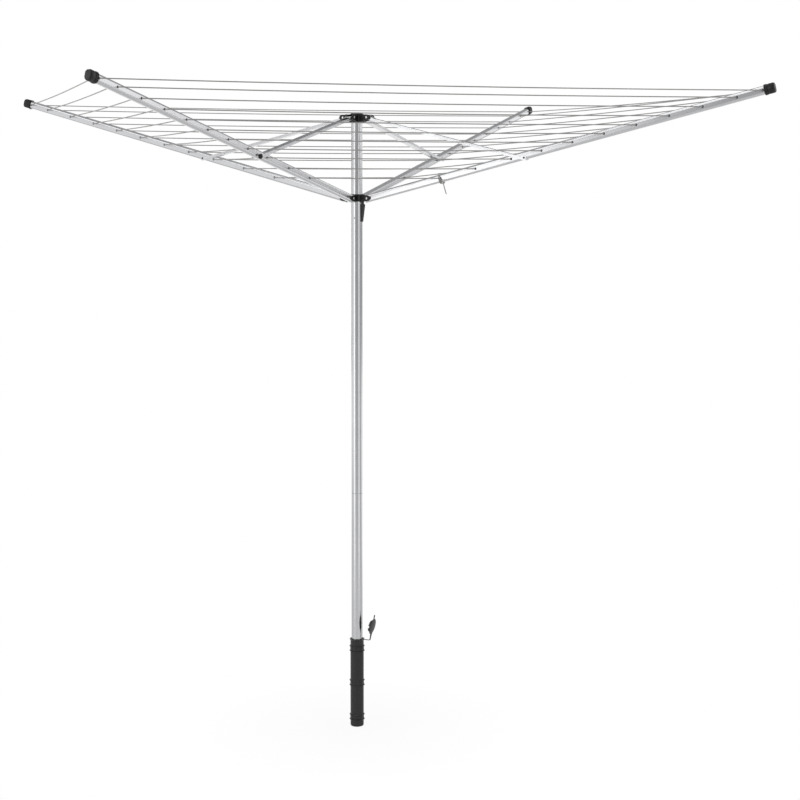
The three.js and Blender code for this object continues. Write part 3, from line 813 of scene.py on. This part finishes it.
def arm_cap():
    """A moulded cap: a ribbed collar on the arm, a waist, and a fluted knob with a rounded end."""
    fit = 0.3
    steps = 12

    def ring(x, extra, flute):
        extra, flute = extra * MM, flute * MM
        width, height = ARM["width"] + 2 * extra, ARM["height"] + 2 * extra
        outline = rounded_rectangle(width, height, ARM["corner"] + extra, steps)
        points = []
        for i, (y, z) in enumerate(outline):
            inward = 1 - (flute / ARM["width"] * 2 if i % 4 in (1, 2) else 0)
            points.append((x, y * inward, z * inward))
        return points

    start, waist, end = CAP["start"], CAP["waist"], CAP["end"]
    # along the arm, then in millimetres: how far outside the arm's outline, and how deep the flutes are
    sections = [
        (ARM["outer"] + fit * MM, fit, 0), (start, fit, 0), (start, 2.8, 0), (start + 0.4 * MM, 3.3, 0),
        (start + 1.8 * MM, 3.3, 0), (start + 2.2 * MM, 2.9, 0), (start + 2.3 * MM, 2, 0),
        (start + 3.3 * MM, 2, 0), (start + 3.4 * MM, 3.1, 0), (start + 6.2 * MM, 3.2, 0),
        (start + 6.8 * MM, 2.5, 0), (waist - 0.8 * MM, 2.2, 0), (waist, 1.2, 0), (waist + 1.8 * MM, 1.2, 0),
        (waist + 2.6 * MM, 2.4, 0.6), (end - 4.4 * MM, 2.3, 0.6), (end - 1.8 * MM, 1.4, 0.6),
        (end - 0.5 * MM, 0, 0.3), (end, -1.8, 0),
    ]
    return loft(bmesh.new(), [ring(*section) for section in sections])


def add_arms():
    for index, place in enumerate(arm_places):
        number = index + 1
        body = f"arm_{number}"
        tube_mesh = arm_tube(index == TIED)
        arm = piece(f"arm_{number}_extrusion", tube_mesh, body, "extrusion", place, nodes=[body])
        weighted = arm.modifiers.new("weighted", "WEIGHTED_NORMAL")
        weighted.keep_sharp = True
        piece(f"arm_{number}_grommets", grommets(index == TIED), body, "black", place, sharp=50)
        piece(f"arm_{number}_end_cap", arm_cap(), body, "black", place, nodes=[f"arm_cap_{number}"], sharp=35)
        pin(f"runner_pin_{number}_rivet", "runner", place, f"runner_pin_{number}", "runner")


add_arms()


# ---------- struts ----------
def strut_outline():
    """One side of the channel, from round the hub's pin to round the arm's pin."""
    s = STRUT
    points = arc((0, 0), s["end_r"], 90, 270, 20)
    points += [(s["hub_web"], -s["below"]), (reach - s["arm_web"], -s["below"])]
    points.append((reach - s["end_r"], -s["end_r"]))
    points += arc((reach, 0), s["end_r"], -90, 153, 26)
    points += [(reach - s["taper"], s["above"]), (s["taper"], s["above"])]
    return points


def strut():
    """A pressed channel, open side up."""
    s = STRUT
    half, inner = s["width"] / 2, s["width"] / 2 - s["wall"]
    outline = strut_outline()
    web = block((s["hub_web"], reach - s["arm_web"]), (-half, half), (-s["below"], -s["below"] + s["wall"]))
    sides = [prism(outline, -half, -inner), prism(outline, inner, half)]
    through = 20 * MM
    holes = [rod(HOLES["pivot"], 0, 0, -through, through), rod(HOLES["strut"], reach, 0, -through, through)]
    return carve(carve(sides[0], [sides[1], web]), holes, "DIFFERENCE")


def strut_beads():
    """A rolled bead along each side of the channel, and a clinch through it beside the arm's pin."""
    half = STRUT["width"] / 2
    bead = [(-0.2, -1.0), (0.1, -0.8), (0.3, -0.3), (0.3, 0.3), (0.1, 0.8), (-0.2, 1.0)]
    bead_drop, bead_ends = 1.5, (30 * MM, reach - 95 * MM)
    clinch_at, clinch_root, clinch_rim = reach - 15 * MM, 11.8 * MM, 12.6 * MM
    clinch = [(0, clinch_root), *((r, clinch_rim + z) for r, z in domed(2.2 * MM, 1 * MM))]
    shells = []
    for side in (-1, 1):
        outline = [(side * (half + out * MM), (up - bead_drop) * MM) for out, up in bead]
        shells.append(loft(bmesh.new(), [[(x, y, z) for y, z in outline] for x in bead_ends]))
        turn = Matrix.Rotation(0 if side > 0 else math.pi, 4, "Z")
        shells.append(moved(crossways(clinch, 24), Matrix.Translation((clinch_at, 0, 0)) @ turn))
    return merged(shells)


def pin_knob():
    """The moulded knob over the head of a strut's pin, with a recess for that head."""
    base = STRUT["width"] / 2 + 0.3 * MM
    recess_r, recess_end = 3.7 * MM, base + 1.6 * MM
    outline = [(0, recess_end), (recess_r, recess_end), (recess_r, base), (6.8 * MM, base),
               (7.1 * MM, base + 0.3 * MM), *crown(8.6 * MM, base + 4 * MM, 6 * MM, 10)]
    return crossways(outline, 48)


def add_struts():
    for index, place in enumerate(strut_places):
        number = index + 1
        body = f"strut_{number}"
        piece(f"strut_{number}_channel", strut(), body, "extrusion", place, nodes=[body], bevel=0.4 * MM)
        piece(f"strut_{number}_beads", strut_beads(), body, "extrusion", place)
        pin(f"hub_pin_{number}_rivet", "mast", place, f"hub_pin_{number}", "hub")
        far = place @ Matrix.Translation((reach, 0, 0))
        pin(f"strut_pin_{number}_rivet", body, far, f"strut_pin_{number}", "strut", look="blackened")
        if number == 1:
            piece("strut_1_pin_knob", pin_knob(), body, "black", far, nodes=["pin_knob"])


add_struts()


# ---------- ground tube ----------
# in millimetres
TUBE = dict(outer=24.5, bore=22, floor=6, rim_r=27, rim=3, rib_r=28)
RIBS = dict(first=36, pitch=129.5, pairs=3, half=8.9, thick=2.4)
TEETH = dict(count=8, root_r=23.8, low_r=25.5, high_r=25.1, half_height=6, half_width=0.9)
LID_AZIMUTH = math.radians(-38)
LID_HINGE_R = 50 * MM
LID_LEAN = math.radians(79)


def ground_tube():
    """The socket sunk in the lawn: ridges round it in pairs, with teeth between the two of a pair."""
    round_r = 5
    foot_r = TUBE["outer"] - round_r
    outline = [(0, 0), (foot_r, 0), *arc((foot_r, round_r), round_r, -75, 0, 8)]
    levels = []
    for pair in range(RIBS["pairs"] - 1, -1, -1):
        middle = GROUND / MM - RIBS["first"] - pair * RIBS["pitch"]
        levels.append(middle)
        for side in (-1, 1):
            z = middle + side * RIBS["half"]
            outline.append((TUBE["outer"], z - RIBS["thick"]))
            outline += arc((TUBE["rib_r"] - 0.7, z - 0.2), 0.7, -60, 60, 4)
            outline.append((TUBE["outer"], z + RIBS["thick"]))
    top = GROUND / MM
    outline += [(TUBE["outer"], top - 2 * TUBE["rim"]), (TUBE["outer"] + 0.8, top - 1.6 * TUBE["rim"])]
    outline += arc((TUBE["rim_r"] - 0.8, top - TUBE["rim"] + 0.8), 0.8, -45, 0, 3)
    outline += arc((TUBE["rim_r"] - 0.8, top - 0.8), 0.8, 0, 90, 4)
    outline += [(TUBE["bore"] + 0.5, top), (TUBE["bore"], top - 0.5), (TUBE["bore"], TUBE["floor"]),
                (0, TUBE["floor"])]
    body = lathe([(r * MM, z * MM) for r, z in outline], 96)
    teeth = []
    root, count, half = TEETH["root_r"], TEETH["count"], TEETH["half_width"] * MM
    for middle in levels:
        low, high = middle - TEETH["half_height"], middle + TEETH["half_height"]
        tooth = [(root, low), (TEETH["low_r"], low), (TEETH["high_r"], high), (root, high)]
        for k in range(count):
            mesh = prism([(x * MM, z * MM) for x, z in tooth], -half, half)
            teeth.append(moved(mesh, Matrix.Rotation(math.tau * (k + 0.5) / count, 4, "Z")))
    return merged([body, *teeth])


def lid():
    """A domed lid with a notched plug ring inside, a pull tab, and a neck that bends as a hinge."""
    centre, radius, thick = 53 * MM, 29 * MM, 1.9 * MM
    to_centre = Matrix.Translation((centre, 0, 0))
    dome = [(0, -4.4), (10, -4.2), (19, -3.6), (25.5, -2.6), (28.2, -1.7), (29, -0.9), (28.8, -0.2),
            (28.4, 0), (0, 0)]
    disc = moved(lathe([(r * MM, z * MM) for r, z in dome], 96), to_centre)
    neck = [(0, -4.5), (14, -4.5), (25, -8), (35, -21), (35, 21), (25, 8), (14, 4.5), (0, 4.5)]
    neck = prism([(x * MM, y * MM) for x, y in neck], -thick, 0, axis="Z")
    edge, tab_half = centre + radius, 3.5 * MM
    tab = [(edge - 6 * MM, -5 * MM), (edge + 1 * MM, -tab_half),
           *arc((edge + 12.5 * MM, 0), tab_half, -90, 90, 12),
           (edge + 1 * MM, tab_half), (edge - 6 * MM, 5 * MM)]
    tab = prism(tab, -thick, 0, axis="Z")
    ring = [(19.6, -1), (21.6, -1), (21.6, 6.8), (21.2, 8), (20.0, 8), (19.6, 7.4)]
    ring = moved(lathe([(r * MM, z * MM) for r, z in ring], 96), to_centre)
    narrow, wide, height = 4 * MM, 26 * MM, (4 * MM, 12 * MM)
    notches = [block((centre - x, centre + x), (-y, y), height) for x, y in ((narrow, wide), (wide, narrow))]
    ring = carve(ring, notches, "DIFFERENCE")
    return carve(disc, [neck, tab, ring])


def add_ground_tube():
    """The socket, the lid and the strap that holds it. The bush and the foot show their own frame solids."""
    piece("ground_tube_socket", ground_tube(), "ground_socket", "ground", nodes=["ground_tube"], sharp=35)
    top, half = GROUND - 1.3 * MM, 4.5 * MM
    strap = block((24 * MM, 49.2 * MM), (-half, half), (top - 0.9 * MM, top))
    hinge = rod(0.6 * MM, 48.8 * MM, top - 0.5 * MM, -half, half, sides=20)
    place = Matrix.Rotation(LID_AZIMUTH, 4, "Z")
    piece("ground_tube_strap", merged([strap, hinge]), "ground_socket", "ground", place, bevel=0.3 * MM)
    place = station(LID_AZIMUTH, LID_HINGE_R, top, -LID_LEAN)
    piece("ground_tube_lid_moulding", lid(), "lid", "ground", place, nodes=["ground_tube_lid"],
          bevel=0.4 * MM)
    for node in ("mouth_bush", "pole_foot"):
        mesh = frame["nodes"][node].data
        mesh.materials.clear()
        mesh.materials.append(LOOKS["black_frame"])


add_ground_tube()


# ---------- studio ----------
def pale():
    """The floor: a matt pale grey that fades into the white background round the object.

    Towards the back the metal sees it as a lit studio floor, a bit less than white.
    """
    shader = Shader("floor_pale", Base_Color=(0.8, 0.8, 0.8, 1), Roughness=0.8)
    place = shader.nodes.new("ShaderNodeTexCoord")

    def measured(operation):
        node = shader.nodes.new("ShaderNodeVectorMath")
        node.operation = operation
        shader.link(place.outputs["Object"], node.inputs[0])
        return node

    distance, backward = measured("LENGTH"), measured("DOT_PRODUCT")
    backward.inputs[1].default_value = (0.5, 0.87, 0)
    nearby = shader.ranged(distance.outputs["Value"], 0, 0.6, 0.93, 1)
    behind = shader.ranged(backward.outputs["Value"], 1.6, 2.8, 0.18, 0.85)
    path = shader.nodes.new("ShaderNodeLightPath")
    seen = shader.maths("MULTIPLY", nearby, path.outputs["Is Camera Ray"])
    white = shader.nodes.new("ShaderNodeEmission")
    mix = shader.nodes.new("ShaderNodeMixShader")
    shader.link(shader.maths("MAXIMUM", seen, behind), mix.inputs["Fac"])
    shader.link(shader.principled.outputs["BSDF"], mix.inputs[1])
    shader.link(white.outputs["Emission"], mix.inputs[2])
    shader.link(mix.outputs["Shader"], shader.nodes["Material Output"].inputs["Surface"])
    return shader.material


def add_floor():
    mesh = bmesh.new()
    bmesh.ops.create_circle(mesh, cap_ends=True, segments=96, radius=12)
    data = to_data("floor", mesh)
    data.materials.append(pale())
    floor = new_object("floor", data)
    floor.location.z = -0.5 * MM


def softbox(name, centre, aim, width, height, radiance):
    """A lit rectangle at a centre, facing a point."""
    data = bpy.data.lights.new(name, "AREA")
    data.shape = "RECTANGLE"
    data.size, data.size_y = width, height
    data.energy = radiance * math.pi * width * height
    lamp = new_object(name, data)
    lamp.location = centre
    lamp.rotation_euler = (Vector(aim) - Vector(centre)).to_track_quat("-Z", "Y").to_euler()


def beside(turn, distance, height):
    """A point at an angle from the camera's direction, seen from the pole."""
    azimuth = math.atan2(EYE.y, EYE.x) + math.radians(turn)
    return (distance * math.cos(azimuth), distance * math.sin(azimuth), height)


def add_lights():
    softbox("wall_left", beside(-76, 5.0, 2.0), (0, 0, 1.6), 7.4, 4.6, 0.43)
    softbox("softbox_left", beside(-48, 2.4, 1.35), (0, 0, 1.35), 0.9, 2.7, 0.68)
    softbox("softbox_right", beside(43, 2.4, 1.35), (0, 0, 1.35), 0.9, 2.7, 0.62)
    softbox("softbox_high_left", beside(-55, 4.6, 4.6), (0, 0, 2.0), 5.0, 2.0, 0.85)
    softbox("panel_right_front", (3.6, -1.0, 2.75), (-0.6, -0.9, 2.2), 2.8, 1.6, 0.66)
    softbox("panel_right_middle", (3.6, 1.0, 2.75), (0, 0, 2.2), 1.2, 1.6, 0.4)
    softbox("panel_right_back", (3.6, 2.4, 2.75), (0.6, 0.8, 2.2), 1.5, 1.6, 0.72)
    softbox("softbox_top", (-0.6, -0.8, 5.5), (0, 0, 1.0), 3.2, 3.2, 1.0)
    softbox("backdrop", (1.5, 10.5, 2.2), (0, 0, 1.6), 9.0, 3.6, 1.0)


def add_world():
    """White where the camera sees it, and the studio's even grey for everything else."""
    world = bpy.data.worlds.new("studio")
    bpy.context.scene.world = world
    world.use_nodes = True
    nodes, links = world.node_tree.nodes, world.node_tree.links
    studio = nodes["Background"]
    studio.inputs["Color"].default_value = (0.34, 0.342, 0.35, 1)
    white = nodes.new("ShaderNodeBackground")
    white.inputs["Color"].default_value = (1, 1, 1, 1)
    path = nodes.new("ShaderNodeLightPath")
    mix = nodes.new("ShaderNodeMixShader")
    links.new(path.outputs["Is Camera Ray"], mix.inputs["Fac"])
    links.new(studio.outputs["Background"], mix.inputs[1])
    links.new(white.outputs["Background"], mix.inputs[2])
    links.new(mix.outputs["Shader"], nodes["World Output"].inputs["Surface"])


add_floor()
add_lights()
add_world()
bpy.context.scene.view_settings.view_transform = "Standard"
